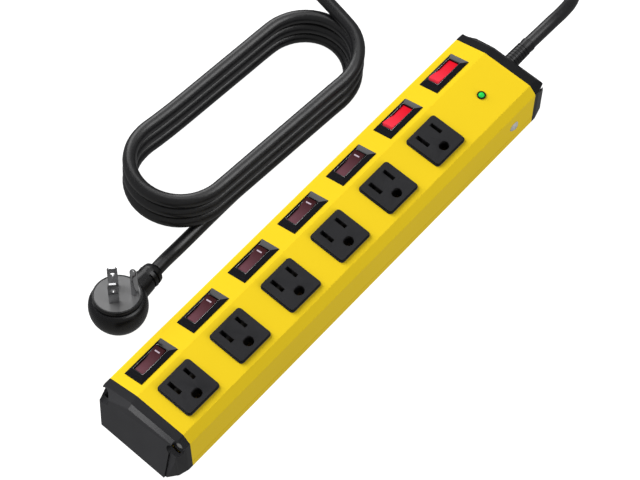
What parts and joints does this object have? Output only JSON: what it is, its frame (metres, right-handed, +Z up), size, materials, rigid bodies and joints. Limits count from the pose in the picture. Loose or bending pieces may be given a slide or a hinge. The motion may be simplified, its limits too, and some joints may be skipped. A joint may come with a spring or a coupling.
{
  "type": "power strip",
  "caption": "Metal-cased power strip with a row of grounded outlets, a lit rocker switch beside each, black end caps and a folded mains lead with a three-pin plug.",
  "frame": {"origin": "middle of the strip's underside, on the surface that it rests on", "axes": "+X along the strip towards the cord end, +Y towards the switches, +Z up out of the outlets"},
  "size_m": [0.4556, 0.2048, 0.0475],
  "materials": {
    "case_yellow": "yellow powder coat, light orange peel",
    "black_plastic": "moulded ABS, fine texture",
    "outlet_plastic": "moulded nylon, satin",
    "gloss_black": "polished",
    "rocker_off": "dark translucent red",
    "rocker_on": "translucent red, lit from inside",
    "led_green": "translucent green, lit",
    "nickel": "zinc and nickel plate",
    "brass": "stamped strip",
    "board_green": "solder mask",
    "component_blue": "dipped epoxy",
    "capacitor_amber": "moulded box",
    "wire": "wire insulation",
    "cord_pvc": "semi-gloss PVC jacket",
    "plug_black": "moulded PVC",
    "plug_grey": "moulded insert, satin"
  },
  "bodies": {
    "root": {"upper_shell": "case_yellow", "base_plate": "case_yellow", "end_cap_near": "black_plastic", "end_cap_cord": "black_plastic", "end_cap_screws": "nickel", "side_screws": "nickel", "switch_terminals": "brass", "led_bezel": "gloss_black", "led_lens": "led_green", "contact_carrier": "outlet_plastic", "live_bus_bar": "brass", "neutral_bus_bar": "brass", "ground_bus_bar": "brass", "surge_board": "board_green", "board_standoffs": "nickel", "surge_varistors": "component_blue", "filter_capacitor": "capacitor_amber", "internal_wires": "wire", "ground_stud": "nickel", "strain_relief": "plug_black", "cord_lead": "cord_pvc", "cord_hank": "cord_pvc", "cord_tail": "cord_pvc", "plug_body": "plug_black", "plug_face": "plug_grey", "plug_blades": "nickel", "plug_ground_pin": "nickel", "outlet_1": "outlet_plastic", "outlet_2": "outlet_plastic", "outlet_3": "outlet_plastic", "outlet_4": "outlet_plastic", "outlet_5": "outlet_plastic", "outlet_6": "outlet_plastic", "switch_bezel_1": "gloss_black", "switch_bezel_2": "gloss_black", "switch_bezel_3": "gloss_black", "switch_bezel_4": "gloss_black", "switch_bezel_5": "gloss_black", "switch_bezel_6": "gloss_black", "switch_bezel_7": "gloss_black"},
    "rocker_1": {"rocker_1": "rocker_off"},
    "rocker_2": {"rocker_2": "rocker_off"},
    "rocker_3": {"rocker_3": "rocker_off"},
    "rocker_4": {"rocker_4": "rocker_off"},
    "rocker_5": {"rocker_5": "rocker_off"},
    "rocker_6": {"rocker_6": "rocker_on"},
    "rocker_7": {"rocker_7": "rocker_on"}
  },
  "joints": [
    {"name": "rocker_1_tilt", "type": "hinge", "parent": "root", "child": "rocker_1", "pos_m": [-0.1372, 0.01982, 0.03432], "axis": [0, 0.9455, -0.3256], "range_deg": [0, 14]},
    {"name": "rocker_2_tilt", "type": "hinge", "parent": "root", "child": "rocker_2", "pos_m": [-0.0922, 0.01982, 0.03432], "axis": [0, 0.9455, -0.3256], "range_deg": [0, 14]},
    {"name": "rocker_3_tilt", "type": "hinge", "parent": "root", "child": "rocker_3", "pos_m": [-0.0472, 0.01982, 0.03432], "axis": [0, 0.9455, -0.3256], "range_deg": [0, 14]},
    {"name": "rocker_4_tilt", "type": "hinge", "parent": "root", "child": "rocker_4", "pos_m": [-0.0022, 0.01982, 0.03432], "axis": [0, 0.9455, -0.3256], "range_deg": [0, 14]},
    {"name": "rocker_5_tilt", "type": "hinge", "parent": "root", "child": "rocker_5", "pos_m": [0.0428, 0.01982, 0.03432], "axis": [0, 0.9455, -0.3256], "range_deg": [0, 14]},
    {"name": "rocker_6_tilt", "type": "hinge", "parent": "root", "child": "rocker_6", "pos_m": [0.0878, 0.01982, 0.03432], "axis": [0, 0.9455, -0.3256], "range_deg": [-14, 0]},
    {"name": "rocker_7_tilt", "type": "hinge", "parent": "root", "child": "rocker_7", "pos_m": [0.1328, 0.01982, 0.03432], "axis": [0, 0.9455, -0.3256], "range_deg": [-14, 0]}
  ]
}
